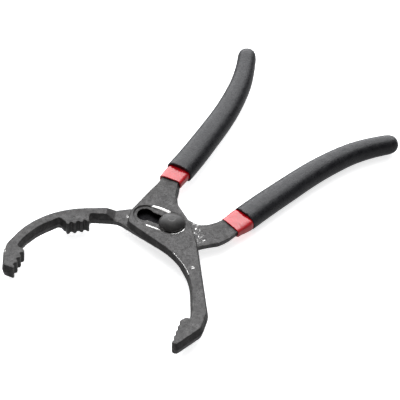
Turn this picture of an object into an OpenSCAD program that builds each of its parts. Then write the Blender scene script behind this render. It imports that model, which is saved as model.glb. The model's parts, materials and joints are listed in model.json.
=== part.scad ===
// Slip-joint oil filter wrench: two half-lapped forged levers on a sliding pivot bolt.
// Origin on the pivot axis at the underside of the joint, +Y towards the handles, +Z up.

/* [Forged levers] */
// Thickness of the jaws, and of the two lapped plates together
joint_t = 11; // [9:0.5:13]
// Gap between the two lapped plates
lap_gap = 0.1; // [0.05:0.05:0.3]
// How far the slotted lever's side walls bulge at mid thickness, past its top face
slotted_draft = 1.7; // [0.8:0.1:2]
// How far the plain lever's side walls bulge at mid thickness, past its faces
plain_draft = 1.4; // [0.8:0.1:1.8]

/* [Slip joint] */
// Radius of the pivot bolt's round shank
bolt_r = 6.1; // [5:0.1:6.5]
// Width across the two flats on the bolt
flats_w = 9; // [8:0.5:10]
// Running clearance round the bolt
running_gap = 0.08; // [0.04:0.01:0.1]
// Distance between the two pivot positions
slip_travel = 22.4; // [18:0.2:24]
// Direction of the slot, from the first pivot position to the second
slip_angle = 196.3; // [190:0.1:200]
// Depth of the shallow track that the head washer slides in
track_depth = 1; // [0.6:0.1:1.4]

/* [Pivot hardware] */
// Radius of the domed bolt head
head_r = 9.9; // [9:0.1:10.5]
// Height of the dome's top above the joint
head_rise = 5.2; // [4:0.1:6]
// Width of the hexagonal nut across its flats
nut_af = 16; // [15:0.5:17]
// Thickness of the nut
nut_t = 4.2; // [3.5:0.1:5]

/* [Grips] */
// Scale of the grips' and sleeves' width and thickness
grip_fullness = 1; // [0.97:0.01:1.04]

/* [Hidden] */
$fn = 64;

steel = [0.24, 0.23, 0.22];
black_steel = [0.13, 0.13, 0.13];
red_vinyl = [0.78, 0.10, 0.14];
black_vinyl = [0.11, 0.11, 0.12];

mid_z = joint_t / 2;
slotted_z = (joint_t + mid_z + lap_gap / 2) / 2;
plain_z = (mid_z - lap_gap / 2) / 2;
slip_end = slip_travel * [cos(slip_angle), sin(slip_angle)];

// The jaws step up to full thickness along a slanted face at this distance from the pivot.
step_foot = 42.8;
step_run = 6.6;
plain_step_angle = 220.5;
slotted_step_angle = 319.5;

// Corners of the two levers' top faces as [x, y, corner radius], counter-clockwise.
slotted_corners = [
    [-32.2, -9.8, 4], [-24.6, -21.4, 7], [41, -21.4, 69], [75.8, -56.1, 60],
    [80.2, -62.4, 2.5], [83.2, -68, 3], [89, -88.6, 2], [91.3, -90.6, 1], [92.4, -64.6, 9],
    [84.5, -50.5, 18], [26.5, -1.8, 40], [7, 11, 25], [-13, 18.2, 11]
];
plain_corners = [
    [12.5, 15, 11], [2, 14.2, 20], [-35.6, -6.8, 5], [-46.5, -21.5, 20],
    [-81, -57, 65], [-73.6, -102.5, 12], [-59.5, -118.4, 2], [-55.5, -117.4, 1],
    [-63, -98.4, 2], [-67, -96.2, 3], [-71.6, -79, 60], [-64.8, -53.2, 2.5],
    [-59, -54.2, 1], [-50, -40.6, 1], [-51, -34.4, 2.5], [-41, -26, 4], [-35, -21.6, 12],
    [17, -18.4, 15], [29.6, 6, 30]
];

// Tooth rows as [start, end, number of teeth, depth]; each lies on the right of its row.
slotted_teeth = [[76.1, -70.2], [86.9, -89.8], 5, 1.2];
plain_tip_teeth = [[-51.9, -115.2], [-58.7, -97.6], 4, 1.9];
plain_mid_teeth = [[-54.9, -54.4], [-46.3, -41.6], 4, 1.8];

// Centre lines of the shanks and grips. Both lists share one index: 0 is in the lap plate,
// 2 is the sleeve's front, 3 the grip's front and 9 the handle's end.
slotted_path = [
    [-26.6, 16.6], [-29.8, 25], [-33, 32.3], [-35.6, 44], [-38.9, 59.4],
    [-46.4, 87.4], [-55.3, 116.3], [-67.2, 143.2], [-79.3, 161.9], [-89.6, 174.4]
];
plain_path = [
    [24.6, 13.4], [27.9, 22.6], [29.2, 32.1], [30.1, 46], [30.2, 62],
    [31.4, 92], [33.4, 122], [39, 151], [47.6, 171], [56.8, 185.4]
];

// Half width and half height of the handles' layers against that index.
slotted_shank_width = [[0, 12], [0.5, 11], [1, 9.8], [2, 8.2], [3, 7.8], [5, 7.4], [6, 6.8], [8.2, 5]];
plain_shank_width = [[0, 11.6], [0.5, 10.8], [1, 10.2], [2, 8.8], [3, 7.8], [5, 7.4], [6, 6.8], [8.2, 5]];
sleeve_width = [[2, 9.1], [2.4, 9.2], [3, 9.2], [5, 8.6], [6, 8], [8.2, 6.1], [8.4, 5.4]];
flared_width = [[2, 9.8], [2.36, 9.8], [2.44, 10.1], [2.9, 10.5], [3.2, 9.4],
    [5, 8.6], [6, 8], [8.2, 6.1], [8.4, 5.4]];
sleeve_height = [[2, 4.3], [8.2, 4.1], [8.4, 3.6]];
flared_height = [[2, 4.2], [2.36, 4.3], [2.44, 4.6], [2.9, 5.4], [3.2, 4.6],
    [8.2, 4.1], [8.4, 3.6]];
grip_width = [[3, 10.7], [4, 10.4], [5, 9.8], [6, 9.1], [7, 8.1], [8, 7.2], [9, 6.9]];
grip_height = [[3, 7.6], [5, 7.9], [7, 7.6], [9, 7.2]];

// Where along the index the shanks' edges run, and how many steps they take.
shank_start = 0.5;
shank_end = 8.2;
edge_steps = 22;
// The shanks change level over this stretch of y.
// How far cutters run past the part, sideways and in height.
reach = 220;
over = 2;

// Where along the index each layer has its rings.
sleeve_stops = [2, 2.12, 2.36, 2.44, 2.7, 2.9, 3.2, 4, 5, 5.5, 6, 6.5, 7, 7.6, 8.2, 8.4];
grip_front = 3;
grip_end = 9;
grip_bevel = 0.16;
tip_round = 0.62;

function unit(v) = v / norm(v);
function right_of(d) = [d.y, -d.x];
function signed_power(v, e) = sign(v) * pow(abs(v), e);

// Points of one rounded corner of an outline grown outwards by g. a and b are its neighbours.
function corner_arc(a, p, b, g) =
    let(n1 = right_of(unit([p.x - a.x, p.y - a.y])),
        n2 = right_of(unit([b.x - p.x, b.y - p.y])),
        turn = atan2(n1.x * n2.y - n1.y * n2.x, n1 * n2),
        side = turn < 0 ? -1 : 1,
        r = p.z == 0 ? 0 : max(p.z + side * g, 0.05),
        tip = [p.x, p.y] + g * (n1 + n2) / (1 + n1 * n2),
        centre = tip - side * r / cos(turn / 2) * unit(n1 + n2),
        start = atan2(n1.y, n1.x),
        steps = p.z == 0 ? 0 : max(2, ceil(abs(turn) * max(1, p.z / 12) / 14)))
    p.z == 0 ? [tip]
    : [for (k = [0:steps]) centre + side * r * [cos(start + turn * k / steps),
        sin(start + turn * k / steps)]];

function grown_outline(corners, g) =
    let(n = len(corners))
    [for (i = [0:n - 1])
        each corner_arc(corners[(i + n - 1) % n], corners[i], corners[(i + 1) % n], g)];

function at_height(outline, z) = [for (p = outline) [p.x, p.y, z]];

// A row of blunt teeth whose crests lie on the line from the row's start to its end.
function tooth_row(row) =
    let(along = row[1] - row[0],
        pitch = norm(along) / (row[2] - 1),
        d = unit(along),
        inward = -right_of(d) * row[3])
    [for (i = [0:row[2] - 1]) each concat(
        [row[0] + d * pitch * (i - 0.16), row[0] + d * pitch * (i + 0.16)],
        i == row[2] - 1 ? []
        : [row[0] + d * pitch * (i + 0.4) + inward, row[0] + d * pitch * (i + 0.6) + inward])];

// A point on the smooth curve through a path's points, at index u.
function on_path(path, u) =
    let(i = min(floor(u), len(path) - 2), t = u - i,
        a = path[max(i - 1, 0)], b = path[i], c = path[i + 1],
        d = path[min(i + 2, len(path) - 1)])
    (2 * b + (c - a) * t + (2 * a - 5 * b + 4 * c - d) * t * t
        + (3 * b - a - 3 * c + d) * t * t * t) / 2;

// Unit vector across the path, to the right of its direction, at index u.
function across_path(path, u) =
    let(d = 0.01, last = len(path) - 1)
    right_of(unit(on_path(path, min(u + d, last)) - on_path(path, max(u - d, 0))));

// Rounded cross-section at height z: a superellipse whose power e makes it squarer as it grows.
function oval_ring(path, u, z, w, h, e) =
    let(c = on_path(path, u), s = across_path(path, u), sides = 28)
    [for (k = [0:sides - 1]) let(a = 360 * k / sides,
        x = w * signed_power(cos(a), 2 / e), y = h * signed_power(sin(a), 2 / e))
        [c.x + s.x * x, c.y + s.y * x, z + y]];

// Edge points of a shank between two indexes, on one side of its path and set in by inset.
function shank_edge(path, widths, inset, from, to, side) =
    [for (k = [0:edge_steps]) let(u = from + (to - from) * k / edge_steps,
        p = on_path(path, u) + side * (lookup(u, widths) - inset) * across_path(path, u))
        [p.x, p.y, 0]];

function shank_outline(path, widths, inset) = concat(
    shank_edge(path, widths, inset, shank_start, shank_end, 1),
    shank_edge(path, widths, inset, shank_end, shank_start, -1));

// Closed skin over rings with equal numbers of points, each anticlockwise seen from the first.
module loft(rings) {
    n = len(rings[0]);
    last = len(rings) - 1;
    polyhedron(
        points = [for (ring = rings) each ring],
        faces = concat(
            [[for (k = [n - 1:-1:0]) k]],
            [for (i = [0:last - 1], k = [0:n - 1]) let(m = (k + 1) % n)
                [i * n + k, i * n + m, (i + 1) * n + m, (i + 1) * n + k]],
            [[for (k = [0:n - 1]) last * n + k]]),
        convexity = 8);
}

// Joins overlapping solids into one closed skin.
module one_skin() {
    resize([0, 0, 0]) union() { children(); }
}

// Full-thickness forging with side walls that swell by draft towards mid height.
module forging(corners, draft) {
    loft([
        at_height(grown_outline(corners, 0), joint_t),
        at_height(grown_outline(corners, draft), mid_z),
        at_height(grown_outline(corners, 0), 0)
    ]);
}

// Everything above or below the lap plane, out to the slanted step. It faces up when up is 1.
module step_cutter(angle, up) {
    low = mid_z - up * lap_gap / 2;
    face = mid_z + up * (mid_z + over);
    rotate([0, 0, angle])
        translate([0, reach, 0])
            rotate([90, 0, 0])
                linear_extrude(height = 2 * reach)
                    polygon([[-reach, low], [step_foot, low],
                        [step_foot + step_run * (mid_z + over) / mid_z, face], [-reach, face]]);
}

module straight_pad(points) {
    linear_extrude(height = joint_t) polygon(points);
}

// Slot for the flatted bolt: two round ends joined by a narrower neck.
module slot_cutter() {
    lobe_r = bolt_r + running_gap;
    neck_w = flats_w + 2 * running_gap;
    for (p = [[0, 0], slip_end]) translate([p.x, p.y, -1]) cylinder(r = lobe_r, h = joint_t + 2);
    rotate([0, 0, slip_angle])
        translate([0, -neck_w / 2, -1])
            cube([slip_travel, neck_w, joint_t + 2]);
}

// Shallow track round the slot, with a bevelled lip that narrows towards the far end.
module track_cutter() {
    floor_r = 8.8;
    lip_r = 11.3;
    far_lip_r = 10.1;
    far_lip = 16.5;
    floor_z = joint_t - track_depth;
    for (p = [[0, 0], slip_end]) translate([p.x, p.y, floor_z]) cylinder(r = floor_r, h = 3);
    rotate([0, 0, slip_angle]) {
        translate([0, -floor_r, floor_z]) cube([slip_travel, 2 * floor_r, 3]);
        translate([0, 0, floor_z + 0.1]) hull() {
            cylinder(r1 = floor_r, r2 = lip_r, h = track_depth - 0.08);
            translate([far_lip, 0, 0])
                cylinder(r1 = floor_r - 0.2, r2 = far_lip_r, h = track_depth - 0.08);
        }
    }
}

// The slotted lever before its slot: full thickness in the jaw, halved past the step.
module slotted_blank() {
    difference() {
        union() {
            forging(concat(slotted_corners, shank_outline(slotted_path,
                slotted_shank_width, slotted_draft)), slotted_draft);
            straight_pad(concat([[80, -62.2], [76.6, -64.6]],
                tooth_row(slotted_teeth), [[90, -90.2], [86, -66]]));
        }
        step_cutter(slotted_step_angle, -1);
    }
}

// The plain lever before its bolt hole, halved on the other side.
module plain_blank() {
    difference() {
        union() {
            forging(concat(plain_corners, shank_outline(plain_path,
                plain_shank_width, plain_draft)), plain_draft);
            straight_pad(concat([[-55.5, -117.4]], tooth_row(plain_tip_teeth),
                [[-61, -96.2], [-67, -97.5], [-62, -112]]));
            straight_pad(concat([[-57.5, -54.4]], tooth_row(plain_mid_teeth),
                [[-47.4, -39.8], [-50.4, -36], [-56, -38], [-62, -50]]));
        }
        step_cutter(plain_step_angle, 1);
    }
}

module slotted_lever() {
    color(steel)
        difference() {
            one_skin() difference() {
                slotted_blank();
                track_cutter();
            }
            slot_cutter();
        }
}

module plain_lever() {
    color(steel)
        difference() {
            one_skin() plain_blank();
            translate([0, 0, -1]) cylinder(r = bolt_r + running_gap, h = joint_t);
        }
}

// Domed head with a small turned dish, flatted shank in the slot, round shank, threaded end.
module pivot_bolt() {
    head_low = joint_t + 0.3;
    rim_z = joint_t + 1.2;
    top_z = joint_t + head_rise;
    dish_r = 2.2;
    rim_r = head_r - 0.3;
    rise = top_z - rim_z;
    ball_r = (rim_r * rim_r - dish_r * dish_r + rise * rise) / (2 * rise);
    ball = sqrt(pow(ball_r, 2) + dish_r * dish_r);
    thread_r = 5;
    thread_end = -1.1 - nut_t - 0.6;
    dome = [for (k = [0:12]) let(x = dish_r + (rim_r - dish_r) * k / 12)
        [x, top_z - ball_r + sqrt(ball * ball - x * x)]];
    color(black_steel) {
        rotate_extrude()
            polygon(concat([[0, head_low], [0, top_z - 0.5], [1.4, top_z - 0.4]], dome,
                [[head_r, rim_z - 0.4], [head_r, head_low + 0.1], [head_r - 0.1, head_low]]));
        intersection() {
            translate([0, 0, mid_z]) cylinder(r = bolt_r, h = head_low + 1 - mid_z);
            rotate([0, 0, slip_angle])
                translate([-10, -flats_w / 2, 0]) cube([20, flats_w, head_low + 2]);
        }
        translate([0, 0, 0.1]) cylinder(r = bolt_r, h = mid_z - 0.1);
        translate([0, 0, thread_end + 0.5]) cylinder(r = thread_r, h = 1.5 - thread_end);
        translate([0, 0, thread_end]) cylinder(r1 = thread_r - 0.5, r2 = thread_r, h = 0.5);
    }
}

// Thin washer in the track under the head. It slides with the bolt but keeps clear of its turn.
module head_washer() {
    floor_z = joint_t - track_depth;
    color(black_steel)
        translate([0, 0, floor_z + 0.02])
            difference() {
                cylinder(r = 8.6, h = 1.2);
                translate([0, 0, -1]) cylinder(r = bolt_r + running_gap, h = 4);
            }
}

module nut_washer() {
    color(steel)
        translate([0, 0, -1])
            difference() {
                cylinder(r = 10, h = 1);
                translate([0, 0, -1]) cylinder(r = 5.2, h = 3);
            }
}

module pivot_nut() {
    color(steel)
        translate([0, 0, -1 - nut_t])
            difference() {
                cylinder(r = nut_af / sqrt(3), h = nut_t, $fn = 6);
                translate([0, 0, -1]) cylinder(r = 5.05, h = nut_t + 2, $fn = 64);
            }
}

module sleeve_layer(path, z, widths, heights) {
    power = 3.6;
    loft([for (u = sleeve_stops) oval_ring(path, u, z, grip_fullness * lookup(u, widths),
        grip_fullness * lookup(u, heights), power)]);
}

module slotted_sleeve_layer() {
    sleeve_layer(slotted_path, slotted_z, sleeve_width, sleeve_height);
}

module plain_sleeve_layer() {
    sleeve_layer(plain_path, plain_z, flared_width, flared_height);
}

// Black outer layer before it is hollowed: rounded at its front lip and at the handle's end.
module grip_layer(path, z) {
    power = 2.4;
    front = [for (k = [0:2]) let(a = 30 + 30 * k)
        [grip_front + grip_bevel * (1 - cos(90 - a)) * 0.6, 1 - 0.14 * (1 - sin(a))]];
    body = [for (u = [grip_front + grip_bevel:0.3:grip_end - tip_round]) [u, 1]];
    tip = [for (k = [0:6]) let(a = 14 * k)
        [grip_end - tip_round + tip_round * sin(a), cos(a)]];
    loft([for (s = concat(front, body, tip)) oval_ring(path, s[0], z,
        grip_fullness * s[1] * lookup(s[0], grip_width),
        grip_fullness * s[1] * lookup(s[0], grip_height), power)]);
}

// Red inner layer: a bonded skin over the shank, closed at its far end.
module slotted_lever_sleeve() {
    color(red_vinyl)
        one_skin() difference() {
            slotted_sleeve_layer();
            slotted_blank();
        }
}

module plain_lever_sleeve() {
    color(red_vinyl)
        one_skin() difference() {
            plain_sleeve_layer();
            plain_blank();
        }
}

module slotted_lever_grip() {
    color(black_vinyl)
        one_skin() difference() {
            grip_layer(slotted_path, slotted_z);
            slotted_sleeve_layer();
        }
}

module plain_lever_grip() {
    color(black_vinyl)
        one_skin() difference() {
            grip_layer(plain_path, plain_z);
            plain_sleeve_layer();
        }
}

slotted_lever();
plain_lever();
pivot_bolt();
head_washer();
nut_washer();
pivot_nut();
slotted_lever_sleeve();
plain_lever_sleeve();
slotted_lever_grip();
plain_lever_grip();
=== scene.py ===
import json
import math

import bmesh
import bpy
import numpy as np
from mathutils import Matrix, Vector, noise


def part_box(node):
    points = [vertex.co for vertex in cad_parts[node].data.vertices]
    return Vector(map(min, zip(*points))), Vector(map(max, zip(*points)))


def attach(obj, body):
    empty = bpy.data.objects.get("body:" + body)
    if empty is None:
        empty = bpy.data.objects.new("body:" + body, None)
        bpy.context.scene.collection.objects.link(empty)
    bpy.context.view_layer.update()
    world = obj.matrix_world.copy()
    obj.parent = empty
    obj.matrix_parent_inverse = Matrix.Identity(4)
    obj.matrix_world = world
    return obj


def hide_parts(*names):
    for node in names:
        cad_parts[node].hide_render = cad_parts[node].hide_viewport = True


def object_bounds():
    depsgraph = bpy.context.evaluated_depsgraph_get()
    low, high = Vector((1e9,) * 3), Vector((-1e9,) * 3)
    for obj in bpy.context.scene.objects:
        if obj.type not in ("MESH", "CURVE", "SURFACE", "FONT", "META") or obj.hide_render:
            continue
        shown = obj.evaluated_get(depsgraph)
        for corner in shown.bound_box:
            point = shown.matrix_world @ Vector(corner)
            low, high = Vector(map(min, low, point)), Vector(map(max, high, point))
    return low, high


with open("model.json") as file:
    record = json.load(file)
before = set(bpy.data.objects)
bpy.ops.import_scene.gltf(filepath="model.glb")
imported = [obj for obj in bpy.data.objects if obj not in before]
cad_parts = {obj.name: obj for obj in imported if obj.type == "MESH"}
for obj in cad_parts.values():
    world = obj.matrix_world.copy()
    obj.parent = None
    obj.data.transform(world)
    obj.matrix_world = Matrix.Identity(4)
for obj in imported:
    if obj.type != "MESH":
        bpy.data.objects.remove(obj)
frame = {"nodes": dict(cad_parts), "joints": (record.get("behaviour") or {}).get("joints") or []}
cad_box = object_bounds()
MM = 0.001
FLOOR_Z = cad_box[0][2]

# The joint, in millimetres: its whole thickness, the height where the two levers meet, and the
# way and length of the bolt's slide along the slot.
JOINT_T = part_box("slotted_lever")[1][2] / MM
LAP = JOINT_T / 2
SLIP = next(j for j in frame["joints"] if j["name"] == "slip_adjust")
SLIP_WAY = Vector(SLIP["axis"])
SLIP_RUN = SLIP["range_m"][1] / MM


# ---------------------------------------------------------------- camera, lights and floor


def aim(obj, target):
    """Points obj's -Z axis at target, with +Y up."""
    obj.rotation_euler = (Vector(target) - obj.location).to_track_quat("-Z", "Y").to_euler()


def make_camera():
    """A long lens far off, 44 degrees round from the jaws' side and 44 above the wrench's plane."""
    target = Vector((-0.0022, 0.0325, 0.0107))
    azimuth, elevation, distance = math.radians(44), math.radians(44.4), 12.0
    away = Vector((math.sin(azimuth) * math.cos(elevation),
                   -math.cos(azimuth) * math.cos(elevation), math.sin(elevation)))
    lens = bpy.data.cameras.new("camera")
    lens.lens, lens.sensor_width = 1446, 36
    lens.clip_start, lens.clip_end = 1, 60
    cam = bpy.data.objects.new("camera", lens)
    cam.location = target + away * distance
    aim(cam, target)
    bpy.context.collection.objects.link(cam)
    bpy.context.scene.camera = cam


def area_light(name, place, side, power):
    """A square light that faces the wrench's pivot."""
    light = bpy.data.lights.new(name, "AREA")
    light.shape, light.size, light.energy = "SQUARE", side, power
    obj = bpy.data.objects.new(name, light)
    obj.location = place
    aim(obj, (0, 0, 0))
    bpy.context.collection.objects.link(obj)


def studio_sky():
    """A soft tent of light: bright behind and to the left, dim elsewhere, even below the horizon."""
    world = bpy.data.worlds.new("studio")
    world.use_nodes = True
    tree = world.node_tree
    sky = tree.nodes["Background"]

    def ramp(value, low, high, to_low, to_high):
        n = tree.nodes.new("ShaderNodeMapRange")
        n.interpolation_type = "SMOOTHSTEP"
        tree.links.new(value, n.inputs["Value"])
        for k, v in (("From Min", low), ("From Max", high), ("To Min", to_low), ("To Max", to_high)):
            n.inputs[k].default_value = v
        return n.outputs["Result"]

    def combine(op, a, b):
        n = tree.nodes.new("ShaderNodeMath")
        n.operation = op
        tree.links.new(a, n.inputs[0])
        tree.links.new(b, n.inputs[1])
        return n.outputs[0]

    way = tree.nodes.new("ShaderNodeTexCoord").outputs["Generated"]
    lobe = tree.nodes.new("ShaderNodeVectorMath")
    lobe.operation = "DOT_PRODUCT"
    tree.links.new(way, lobe.inputs[0])
    lobe.inputs[1].default_value = Vector((-0.62, 0.56, 0.55)).normalized()
    up = tree.nodes.new("ShaderNodeSeparateXYZ")
    tree.links.new(way, up.inputs[0])
    dim, bright, below_light = 0.20, 4.2, 0.60
    upper = ramp(lobe.outputs["Value"], 0.55, 0.97, dim, bright)
    above = ramp(up.outputs["Z"], -0.10, 0.02, 0.0, 1.0)
    below = ramp(up.outputs["Z"], -0.10, 0.02, below_light, 0.0)
    tree.links.new(combine("ADD", combine("MULTIPLY", upper, above), below), sky.inputs["Strength"])
    sky.inputs["Color"].default_value = (0.97, 0.98, 1, 1)
    bpy.context.scene.world = world


def make_stage():
    """Studio light, and a pale floor that takes shadows and is not seen in reflections."""
    studio_sky()
    bpy.context.scene.view_settings.view_transform = "Standard"
    area_light("overhead", (-0.2, 0.2, 1.6), 1.6, 9)
    me = bpy.data.meshes.new("floor")
    half = 4.0
    corners = [(x * half, y * half, FLOOR_Z) for x, y in ((-1, -1), (1, -1), (1, 1), (-1, 1))]
    me.from_pydata(corners, [], [(0, 1, 2, 3)])
    floor = bpy.data.objects.new("floor", me)
    bpy.context.collection.objects.link(floor)
    me.materials.append(floor_material())
    floor.visible_diffuse = floor.visible_glossy = False


# ---------------------------------------------------------------- node helpers


class Nodes:
    """A short way to write a material's node tree. Each call adds a node and gives its output."""

    def __init__(self, name):
        self.mat = bpy.data.materials.new(name)
        self.mat.use_nodes = True
        self.tree = self.mat.node_tree
        self.shader = self.tree.nodes["Principled BSDF"]
        self.place = self.new("ShaderNodeTexCoord").outputs["Object"]

    def new(self, kind, **values):
        n = self.tree.nodes.new(kind)
        for k, v in values.items():
            setattr(n, k, v)
        return n

    def put(self, socket, value):
        if isinstance(value, bpy.types.NodeSocket):
            self.tree.links.new(value, socket)
        elif isinstance(value, tuple) and len(value) == 3 and socket.type == "RGBA":
            socket.default_value = (*value, 1)
        else:
            socket.default_value = value

    def set(self, name, value):
        self.put(self.shader.inputs[name], value)

    def noise(self, scale, detail=3.0, rough=0.5, distort=0.0):
        n = self.new("ShaderNodeTexNoise")
        self.put(n.inputs["Vector"], self.place)
        for k, v in (("Scale", scale), ("Detail", detail), ("Roughness", rough), ("Distortion", distort)):
            self.put(n.inputs[k], v)
        return n.outputs["Fac"]

    def cells(self, scale, feature="F1", smooth=None):
        n = self.new("ShaderNodeTexVoronoi", feature=feature)
        self.put(n.inputs["Vector"], self.place)
        self.put(n.inputs["Scale"], scale)
        if smooth is not None:
            self.put(n.inputs["Smoothness"], smooth)
        return n.outputs["Distance"]

    def attribute(self, name):
        return self.new("ShaderNodeAttribute", attribute_name=name).outputs["Fac"]

    def math(self, op, a, b=None, clamp=False):
        n = self.new("ShaderNodeMath", operation=op, use_clamp=clamp)
        self.put(n.inputs[0], a)
        if b is not None:
            self.put(n.inputs[1], b)
        return n.outputs[0]

    def band(self, value, low, high, to_low=0.0, to_high=1.0):
        """value from low..high mapped to to_low..to_high with soft ends."""
        n = self.new("ShaderNodeMapRange", interpolation_type="SMOOTHSTEP")
        for k, v in (("Value", value), ("From Min", low), ("From Max", high),
                     ("To Min", to_low), ("To Max", to_high)):
            self.put(n.inputs[k], v)
        return n.outputs["Result"]

    def mix(self, fac, a, b):
        """Colour a where fac is 0, b where it is 1."""
        n = self.new("ShaderNodeMix", data_type="RGBA")
        self.put(n.inputs[0], fac)
        self.put(n.inputs[6], a)
        self.put(n.inputs[7], b)
        return n.outputs[2]

    def blend(self, fac, a, b):
        """Number a where fac is 0, b where it is 1."""
        n = self.new("ShaderNodeMix", data_type="FLOAT")
        self.put(n.inputs[0], fac)
        self.put(n.inputs[2], a)
        self.put(n.inputs[3], b)
        return n.outputs[0]

    def bump(self, height, distance, strength, under=None):
        """A bump as tall as distance in metres, laid over the bump under it."""
        n = self.new("ShaderNodeBump")
        self.put(n.inputs["Height"], height)
        self.put(n.inputs["Distance"], distance)
        self.put(n.inputs["Strength"], strength)
        if under is not None:
            self.put(n.inputs["Normal"], under)
        return n.outputs["Normal"]


def floor_material():
    """White acrylic, lit from below so that shadows on it stay faint."""
    m = Nodes("studio_floor")
    m.set("Base Color", m.mix(m.noise(3.0, 2), (0.90, 0.90, 0.90), (0.92, 0.92, 0.92)))
    m.set("Roughness", 0.9)
    m.set("Specular IOR Level", 0.1)
    m.set("Emission Color", m.mix(m.noise(2.0, 2), (0.98, 0.98, 0.98), (1.0, 1.0, 1.0)))
    m.set("Emission Strength", 0.72)
    return m.mat


# ---------------------------------------------------------------- meshes


def finished(name, mesh, body, node, material):
    """Puts a mesh in the scene, riding on its body in place of its CAD node."""
    obj = bpy.data.objects.new(name, mesh)
    bpy.context.collection.objects.link(obj)
    mesh.name = name
    mesh.materials.clear()
    mesh.materials.append(material)
    mesh.shade_smooth()
    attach(obj, body)
    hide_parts(node)


def welded_copy(node):
    """A copy of a CAD node's mesh with its corners joined again."""
    bm = bmesh.new()
    bm.from_mesh(frame["nodes"][node].data)
    bmesh.ops.remove_doubles(bm, verts=bm.verts, dist=0.003 * MM)
    me = bpy.data.meshes.new(node + "_copy")
    bm.to_mesh(me)
    bm.free()
    me.materials.clear()
    return me


def reskinned(node, voxel, passes):
    """An even skin over a CAD node, with its sharp edges rounded by smoothing passes."""
    me = welded_copy(node)
    obj = bpy.data.objects.new("work", me)
    bpy.context.collection.objects.link(obj)
    skin = obj.modifiers.new("skin", "REMESH")
    skin.mode, skin.voxel_size, skin.use_smooth_shade = "VOXEL", voxel, True
    soft = obj.modifiers.new("soft", "SMOOTH")
    soft.factor, soft.iterations = 0.5, passes
    graph = bpy.context.evaluated_depsgraph_get()
    out = bpy.data.meshes.new_from_object(obj.evaluated_get(graph), depsgraph=graph)
    bpy.data.objects.remove(obj)
    bpy.data.meshes.remove(me)
    return out


def arrays(me):
    """A mesh's points, its normals and its edges as arrays, in millimetres."""
    n = len(me.vertices)
    pts, nor = np.empty(3 * n), np.empty(3 * n, dtype=np.float32)
    me.vertices.foreach_get("co", pts)
    me.vertex_normals.foreach_get("vector", nor)
    edges = np.empty(2 * len(me.edges), dtype=np.int64)
    me.edges.foreach_get("vertices", edges)
    return pts.reshape(n, 3) / MM, nor.reshape(n, 3).astype(float), edges.reshape(-1, 2)


def spread_out(values, edges, rounds):
    """Averages values over neighbouring points, several times."""
    count = np.bincount(edges.ravel(), minlength=len(values)) + 1.0
    for _ in range(rounds):
        total = values.copy()
        np.add.at(total, edges[:, 0], values[edges[:, 1]])
        np.add.at(total, edges[:, 1], values[edges[:, 0]])
        values = (total.T / count).T
    return values


def edge_sharpness(pts, nor, edges, reach):
    """How convex (+) or hollow (-) the skin is at each point, for edges about reach rounds wide."""
    mean = spread_out(pts, edges, reach)
    return np.einsum("ij,ij->i", pts - mean, nor)


def keep(me, name, values):
    """Stores one number per point for a material to read."""
    me.attributes.new(name, "FLOAT", "POINT").data.foreach_set(
        "value", np.ascontiguousarray(values, dtype=np.float32))


def rise(x, low, high):
    """0 below low, 1 above high and smooth between."""
    t = np.clip((x - low) / (high - low), 0, 1)
    return t * t * (3 - 2 * t)


def fall(x, low, high):
    """1 below low, 0 above high and smooth between."""
    return 1 - rise(x, low, high)


def move(me, pts):
    """Puts a mesh's points at the given places in millimetres."""
    me.vertices.foreach_set("co", np.ascontiguousarray(pts * MM).ravel())
    me.update()


def ripple(pts, size, seed):
    """Smooth noise between -1 and 1 at each point, its lumps about size millimetres across."""
    return np.array([noise.noise(Vector(p) / size + Vector((seed, 0, 0))) for p in pts])


# ---------------------------------------------------------------- materials


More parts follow.
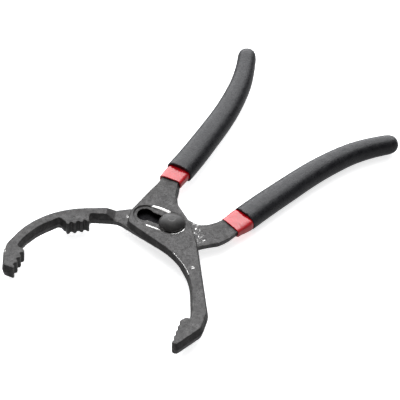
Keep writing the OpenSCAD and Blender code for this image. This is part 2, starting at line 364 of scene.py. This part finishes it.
def forged_steel(name):
    """Black-oxided forging: mottled dark scale, painted shade in the hollows and the slot, grey rubbed
    edges that also carry a painted edge highlight, bare metal where parts slide.
    """
    m = Nodes(name)
    worn, hollow, bare = m.attribute("worn"), m.attribute("hollow"), m.attribute("bare")
    broad = m.noise(55, 3, 0.55)
    patch = m.noise(240, 4, 0.6, 0.4)
    grain = m.noise(1300, 3, 0.65)
    speck = m.noise(3600, 2, 0.6)
    # Dark scale in three sizes of mottling, darkest in hollows and in the slot, where that darkness is
    # painted shade.
    scale_col = m.mix(m.band(broad, 0.36, 0.66), (0.031, 0.029, 0.028), (0.043, 0.041, 0.040))
    scale_col = m.mix(m.band(patch, 0.44, 0.66, 0, 0.9), scale_col, (0.074, 0.071, 0.069))
    scale_col = m.mix(m.band(grain, 0.50, 0.62, 0, 0.8), scale_col, (0.014, 0.013, 0.013))
    scale_col = m.mix(m.band(hollow, 0.10, 0.9, 0, 0.93), scale_col, (0.005, 0.005, 0.006))
    # Rubbed edges, broken up by the mottling: edge wear, and also a painted highlight along the edges.
    rub = m.math("MULTIPLY", worn, m.band(patch, 0.34, 0.58, 0.35, 1))
    rub = m.math("MULTIPLY", rub, m.band(grain, 0.30, 0.60, 0.5, 1), clamp=True)
    scale_col = m.mix(m.band(rub, 0.05, 0.7, 0, 0.9), scale_col, (0.24, 0.23, 0.22))
    # Bare metal: solid where bare is 1, and only speckles where it is about a half.
    torn = m.math("MULTIPLY", m.math("SUBTRACT", m.noise(620, 4, 0.7), 0.5), 1.5)
    shine = m.math("ADD", m.math("ADD", bare, torn), m.math("MULTIPLY", rub, 0.12))
    shine = m.band(shine, 0.52, 0.78)
    m.set("Base Color", m.mix(shine, scale_col, (0.86, 0.85, 0.83)))
    # Painted shade: the hollows and the slot turn metal-like over their near-black base, which takes away
    # their reflection.
    shade_dimming = m.band(hollow, 0.3, 1.0, 0.25, 0.9)
    m.set("Metallic", m.blend(shine, shade_dimming, 1.0))
    dull = m.band(m.noise(480, 4, 0.65), 0.36, 0.64, 0.40, 0.66)
    dull = m.blend(m.band(rub, 0, 1, 0, 0.6), dull, 0.34)
    m.set("Roughness", m.blend(shine, dull, 0.26))
    m.set("Specular IOR Level", 0.42)
    # Forged skin: low lumps, then pits, then grain.
    lumps = m.bump(patch, 0.16 * MM, 0.6)
    pits = m.bump(m.cells(1100), 0.08 * MM, 0.5, lumps)
    m.set("Normal", m.bump(speck, 0.03 * MM, 0.45, pits))
    return m.mat


def black_hardware(name):
    """Black-oxided turned steel, with fine lathe rings and lighter rubbed edges."""
    m = Nodes(name)
    worn = m.attribute("worn")
    patch = m.noise(330, 4, 0.6)
    grain = m.noise(2400, 2, 0.6)
    col = m.mix(m.band(patch, 0.38, 0.66), (0.022, 0.021, 0.020), (0.034, 0.032, 0.031))
    col = m.mix(m.band(grain, 0.52, 0.70, 0, 0.5), col, (0.014, 0.014, 0.014))
    rub = m.math("MULTIPLY", worn, m.band(patch, 0.32, 0.62, 0.3, 1), clamp=True)
    m.set("Base Color", m.mix(rub, col, (0.20, 0.195, 0.19)))
    m.set("Metallic", m.band(rub, 0, 1, 0.35, 0.95))
    m.set("Roughness", m.blend(rub, m.band(patch, 0.3, 0.7, 0.36, 0.50), 0.30))
    rings = m.new("ShaderNodeTexWave", wave_type="RINGS", rings_direction="Z")
    m.put(rings.inputs["Vector"], m.place)
    m.put(rings.inputs["Scale"], 900.0)
    m.put(rings.inputs["Distortion"], 0.6)
    grooves = m.bump(rings.outputs["Fac"], 0.012 * MM, 0.35)
    m.set("Normal", m.bump(grain, 0.02 * MM, 0.4, grooves))
    return m.mat


def plated_hardware(name):
    """Dull zinc plate with faint cloudy passivation and rubbed corners."""
    m = Nodes(name)
    worn = m.attribute("worn")
    cloud = m.noise(260, 4, 0.6, 0.5)
    grain = m.noise(2600, 2, 0.6)
    col = m.mix(m.band(cloud, 0.35, 0.68), (0.42, 0.42, 0.41), (0.58, 0.58, 0.56))
    col = m.mix(m.band(grain, 0.50, 0.72, 0, 0.4), col, (0.34, 0.335, 0.32))
    m.set("Base Color", m.mix(m.math("MULTIPLY", worn, 0.7), col, (0.75, 0.75, 0.74)))
    m.set("Metallic", 0.9)
    m.set("Roughness", m.band(cloud, 0.3, 0.7, 0.30, 0.44))
    m.set("Normal", m.bump(grain, 0.02 * MM, 0.4, m.bump(cloud, 0.05 * MM, 0.3)))
    return m.mat


def vinyl(name, dark, light, tip, roughness, pebble, gloss):
    """Dipped vinyl: slow colour drift, a fine pebbled skin and slightly polished high spots."""
    m = Nodes(name)
    worn = m.attribute("worn")
    drift = m.noise(38, 3, 0.5)
    cloud = m.noise(210, 4, 0.62, 0.3)
    skin = m.cells(950, "SMOOTH_F1", 0.7)
    grain = m.noise(2100, 3, 0.6)
    col = m.mix(m.band(drift, 0.35, 0.66), dark, light)
    col = m.mix(m.band(cloud, 0.44, 0.64, 0, 0.6), col, tip)
    col = m.mix(m.band(grain, 0.50, 0.66, 0, 0.5), col, dark)
    m.set("Base Color", m.mix(m.math("MULTIPLY", worn, 0.35), col, tip))
    sheen = m.noise(640, 4, 0.65)
    m.set("Roughness", m.band(sheen, 0.36, 0.64, roughness - 0.2 * pebble, roughness + 0.15 * pebble))
    m.set("Specular IOR Level", gloss)
    low = m.bump(cloud, 0.10 * MM, 0.30)
    mid = m.bump(skin, 0.20 * MM, pebble, low)
    m.set("Normal", m.bump(sheen, 0.12 * MM, pebble, mid))
    return m.mat


# ---------------------------------------------------------------- levers


def near_line(pts, a, b, half):
    """1 on the line from a to b seen from above, falling to 0 at half millimetres off it."""
    a, b = np.array(a, float), np.array(b, float)
    flat = pts[:, :2] - a
    t = np.clip(flat @ (b - a) / ((b - a) @ (b - a)), 0, 1)
    off = np.linalg.norm(flat - t[:, None] * (b - a), axis=1)
    return fall(off, half * 0.45, half)


def near_spot(pts, centre, half):
    """1 round a centre seen from above, falling to 0 at half millimetres off it."""
    return near_line(pts, centre, (centre[0] + 0.01, centre[1]), half)


def slot_place(pts):
    """Each point's distance along the slot from the pivot, and across it."""
    along = pts[:, 0] * SLIP_WAY.x + pts[:, 1] * SLIP_WAY.y
    across = pts[:, 0] * SLIP_WAY.y - pts[:, 1] * SLIP_WAY.x
    return along, across


def off_slot(along, across, run):
    """Distance from the slot's middle line, which starts at the pivot and is run long."""
    return np.hypot(np.minimum(along, 0) + np.maximum(along - run, 0), across)


def top_rim(nor):
    """1 on the rounded edges round an upward face, 0 on the flats and walls."""
    return rise(nor[:, 2], 0.25, 0.5) * fall(nor[:, 2], 0.95, 0.99)


def slotted_bare(pts, nor):
    """Bare metal on the track's bevel, in two nicks on the jaw's root and along its arch."""
    along, across = slot_place(pts)
    off = off_slot(along, across, 16.5)
    height = pts[:, 2] - JOINT_T
    not_floor = rise(height, -0.95, -0.8)
    near_side = rise(along, -1, 4) * fall(along, 14, 19)
    far_side = rise(along, 4, 9) * fall(along, 20, 26)
    bevel = rise(off, 9.0, 9.4) * fall(off, 10.6, 11.2) * np.where(across < 0, near_side, far_side)
    under_head = rise(off, 9.8, 10.2) * fall(off, 11.4, 11.8)
    under_head *= fall(along, -6, -2) * fall(across, -2, 1)
    nicks = np.maximum(near_spot(pts, (44.5, -23.3), 3.0), 0.8 * near_spot(pts, (46.4, -27.6), 1.5))
    nicks *= rise(height, -0.5, -0.1)
    arch = near_line(pts, (25, -21.5), (45, -29), 4.5) * top_rim(nor)
    return np.maximum.reduce([bevel * not_floor, under_head * not_floor * 0.9, nicks * 0.55, arch * 0.9])


def plain_bare(pts, nor):
    """Bare metal where the upper lever has rubbed the lap plate, and on the jaw's outer bend."""
    lap_face = rise(pts[:, 2], LAP - 0.7, LAP - 0.3)
    swept = near_line(pts, (9, 14), (25, 5.5), 6.5) * 0.46
    nose = near_spot(pts, (-32.4, -13.6), 3.0) * 0.55
    bend = near_line(pts, (-73.4, -100.5), (-68.4, -107), 3.0) * top_rim(nor)
    return np.maximum.reduce([swept * lap_face, nose * lap_face, bend * 0.8])


def slotted_painted_shade(pts):
    """Painted shade: 1 on the slot's inner walls below the washer's track, 0 elsewhere."""
    off = off_slot(*slot_place(pts), SLIP_RUN)
    return fall(off, 6.5, 7.0) * fall(pts[:, 2], JOINT_T - 1.6, JOINT_T - 1.1)


def plain_painted_shade(pts):
    """Painted shade: 1 on the lap plate under the slot, 0 elsewhere."""
    off = off_slot(*slot_place(pts), SLIP_RUN)
    return fall(off, 6.4, 9.0) * rise(pts[:, 2], LAP - 0.7, LAP - 0.3)


def lever(node, body, bare_at, shade_at, steel, seed):
    """A forging: softened edges, marks for the steel to read, and slightly uneven faces off the lap."""
    me = reskinned(node, 0.44 * MM, 4)
    pts, nor, edges = arrays(me)
    sharp = spread_out(edge_sharpness(pts, nor, edges, 3), edges, 1)
    worn, hollow = rise(sharp, 0.03, 0.14), rise(-sharp, 0.03, 0.14)
    worn *= 0.55 + 0.45 * rise(ripple(pts, 7, seed + 5), -0.35, 0.25)
    keep(me, "worn", worn)
    # Painted shade: the hollow mark also takes in the slot's walls and the lap plate under it, for the
    # steel to darken.
    keep(me, "hollow", np.maximum(hollow, shade_at(pts)))
    keep(me, "bare", bare_at(pts, nor))
    free = rise(np.abs(pts[:, 2] - LAP), 0.2, 1.2) * (1 - hollow)
    lumps = 0.045 * ripple(pts, 8, seed) + 0.02 * ripple(pts, 2.6, seed + 9) - 0.05
    move(me, pts + nor * (lumps * free)[:, None])
    finished(node + "_forging", me, body, node, steel)


# ---------------------------------------------------------------- vinyl


def dipped(node, body, material, voxel, passes, seed):
    """A vinyl layer: an even, well-rounded skin with slow dips and swells."""
    me = reskinned(node, voxel, passes)
    pts, nor, edges = arrays(me)
    sharp = spread_out(edge_sharpness(pts, nor, edges, 4), edges, 2)
    keep(me, "worn", rise(sharp, 0.06, 0.30))
    lumps = 0.06 * ripple(pts, 11, seed) + 0.02 * ripple(pts, 3.5, seed + 4) - 0.05
    move(me, pts + nor * lumps[:, None])
    finished(node + "_skin", me, body, node, material)


# ---------------------------------------------------------------- hardware


def softened(profile, bevel):
    """A closed outline of (radius, height), each corner rounded and marked as worn if it is far out."""
    out = []
    for k, (r, z) in enumerate(profile):
        here = Vector((r, z))
        back, ahead = Vector(profile[k - 1]) - here, Vector(profile[(k + 1) % len(profile)]) - here
        cut = min(bevel, 0.3 * back.length, 0.3 * ahead.length)
        if r == 0 or cut < 0.02 or back.angle(ahead) > math.radians(165):
            out.append((r, z, 0.0))
            continue
        back.normalize()
        ahead.normalize()
        a, b = here + back * cut, here + ahead * cut
        out.append((*(here + back * cut * 1.6), 0.0))
        worn = 0.15 + 0.85 * float(rise(r, 3.6, 5.0))
        for u in (0, 0.25, 0.5, 0.75, 1):
            p = a * (1 - u) ** 2 + here * 2 * u * (1 - u) + b * u * u
            out.append((*p, worn))
        out.append((*(here + ahead * cut * 1.6), 0.0))
    return out


def turned(name, profile, turns, shape=None):
    """Revolves a closed outline about the pivot's axis. shape may change each point by its angle."""
    pts, worn, ring_of = [], [], []
    for r, z, w in profile:
        if r == 0:
            ring_of.append([len(pts)] * turns)
            pts.append((0, 0, z))
            worn.append(w)
            continue
        ring_of.append(list(range(len(pts), len(pts) + turns)))
        for k in range(turns):
            a = 2 * math.pi * k / turns
            rr, zz = shape(a, r, z) if shape else (r, z)
            pts.append((rr * math.cos(a), rr * math.sin(a), zz))
            worn.append(w)
    faces = []
    for i in range(len(profile)):
        low, high = ring_of[i], ring_of[(i + 1) % len(profile)]
        for k in range(turns):
            m = (k + 1) % turns
            face = list(dict.fromkeys((low[k], low[m], high[m], high[k])))
            if len(face) > 2:
                faces.append(face)
    me = bpy.data.meshes.new(name)
    me.from_pydata([tuple(c * MM for c in p) for p in pts], [], faces)
    me.validate()
    keep(me, "worn", worn)
    bm = bmesh.new()
    bm.from_mesh(me)
    bmesh.ops.recalc_face_normals(bm, faces=bm.faces)
    bm.to_mesh(me)
    bm.free()
    return me


def reach(node):
    """A round node's outer radius and its lowest and highest points, in millimetres."""
    low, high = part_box(node)
    return high[0] / MM, low[2] / MM, high[2] / MM


def pivot_bolt(black):
    """Domed head with a turned ring round its centre, flatted shank, round shank and a cut thread."""
    head_r, end, top = reach("pivot_bolt")
    shank_r, half_flats, shank_end = 6.1, 4.5, 0.15
    thread_r, pitch, thread_depth, thread_step = 5.0, 1.5, 0.75, 0.15
    rim, under = JOINT_T + 1.2, JOINT_T + 0.3
    ring_r, rim_r = 3.5, head_r - 0.35
    crown = top - rim
    dome_r = (rim_r ** 2 + crown ** 2) / (2 * crown)
    head = [(0, top - 0.30), (1.4, top - 0.34), (2.3, top - 0.46), (2.8, top - 0.34)]
    for k in range(15):
        r = ring_r + (rim_r - ring_r) * k / 14
        head.append((r, top - dome_r + math.sqrt(dome_r ** 2 - r ** 2) - 0.02))
    head += [(head_r - 0.02, rim - 0.45), (head_r - 0.02, under + 0.15), (head_r - 0.2, under)]
    shank = [(shank_r, under), (shank_r, LAP), (shank_r, shank_end), (thread_r, shank_end)]
    thread_rings = int((-end - 0.45) / thread_step) + 1
    outline = softened(head + shank, 0.22)
    outline += [(thread_r, -thread_step * k, 0.35) for k in range(thread_rings)]
    outline += [(thread_r - 0.7, end, 0.5), (0, end, 0.5)]
    slot_angle = math.atan2(SLIP_WAY.y, SLIP_WAY.x)

    def shape(a, r, z):
        if LAP + 0.05 < z < under + 0.2 and r < shank_r + 0.05:
            r = min(r, half_flats / max(abs(math.sin(a - slot_angle)), 1e-6))
        elif z < 0 and r > thread_r - 0.01:
            wave = (z / pitch - a / (2 * math.pi)) % 1
            run_out = min(1, max(0, (z - end - 0.3) / 0.6))
            r -= thread_depth * run_out * min(1, max(0, abs(2 * wave - 1) * 1.25 - 0.1))
        return r, z

    me = turned("pivot_bolt_turned", outline, 144, shape)
    finished("pivot_bolt_turned", me, "plain_half", "pivot_bolt", black)


def washer(node, body, material, hole_r):
    """A stamped ring, a hair smaller than its CAD solid so that it clears the forging's uneven face."""
    out, low, high = reach(node)
    out, low, edge_drop = out - 0.25, low + 0.07, 0.06
    profile = [(hole_r, low), (out, low + edge_drop), (out, high - edge_drop), (hole_r, high)]
    me = turned(node + "_ring", softened(profile, 0.2), 120)
    finished(node + "_ring", me, body, node, material)


def pivot_nut(plated):
    """Hexagon nut with 30 degree corner chamfers and countersunk bore."""
    _, low, high = reach("pivot_nut")
    half_flats, bore, sink, face, corner = 8.0, 5.05, 0.7, 7.6, 9.0
    slope = math.tan(math.radians(30))
    drop = (corner - face) * slope
    outline = softened([(bore, high - sink), (bore + sink, high), (face, high), (corner, high - drop),
                        (corner, low + drop), (face, low), (bore + sink, low), (bore, low + sink)], 0.15)

    def shape(a, r, z):
        if r <= face:
            return r, z
        side = (a + math.radians(30)) % math.radians(60) - math.radians(30)
        flat_r = min(half_flats / math.cos(side), corner + 0.08)
        rr = face + (r - face) / (corner - face) * (flat_r - face)
        return rr, z + (r - rr) * slope * (1 if z > (low + high) / 2 else -1)

    me = turned("pivot_nut_hex", outline, 180, shape)
    finished("pivot_nut_hex", me, "plain_half", "pivot_nut", plated)


# ---------------------------------------------------------------- the whole wrench

make_camera()
make_stage()
steel = forged_steel("forged_steel")
black = black_hardware("black_hardware")
plated = plated_hardware("plated_hardware")
red = vinyl("red_vinyl", (0.46, 0.002, 0.008), (0.56, 0.004, 0.012), (0.62, 0.02, 0.03),
            roughness=0.17, pebble=0.10, gloss=0.85)
dark = vinyl("black_vinyl", (0.006, 0.006, 0.008), (0.011, 0.011, 0.013), (0.026, 0.026, 0.028),
             roughness=0.38, pebble=0.60, gloss=0.34)

lever("slotted_lever", "slotted_half", slotted_bare, slotted_painted_shade, steel, 11)
lever("plain_lever", "plain_half", plain_bare, plain_painted_shade, steel, 37)
pivot_bolt(black)
washer("head_washer", "slip_washer", black, 6.2)
washer("nut_washer", "plain_half", plated, 5.2)
pivot_nut(plated)
for side, body, seed in (("slotted_lever", "slotted_half", 51), ("plain_lever", "plain_half", 73)):
    dipped(side + "_sleeve", body, red, 0.4 * MM, 5, seed)
    dipped(side + "_grip", body, dark, 0.6 * MM, 10, seed + 6)
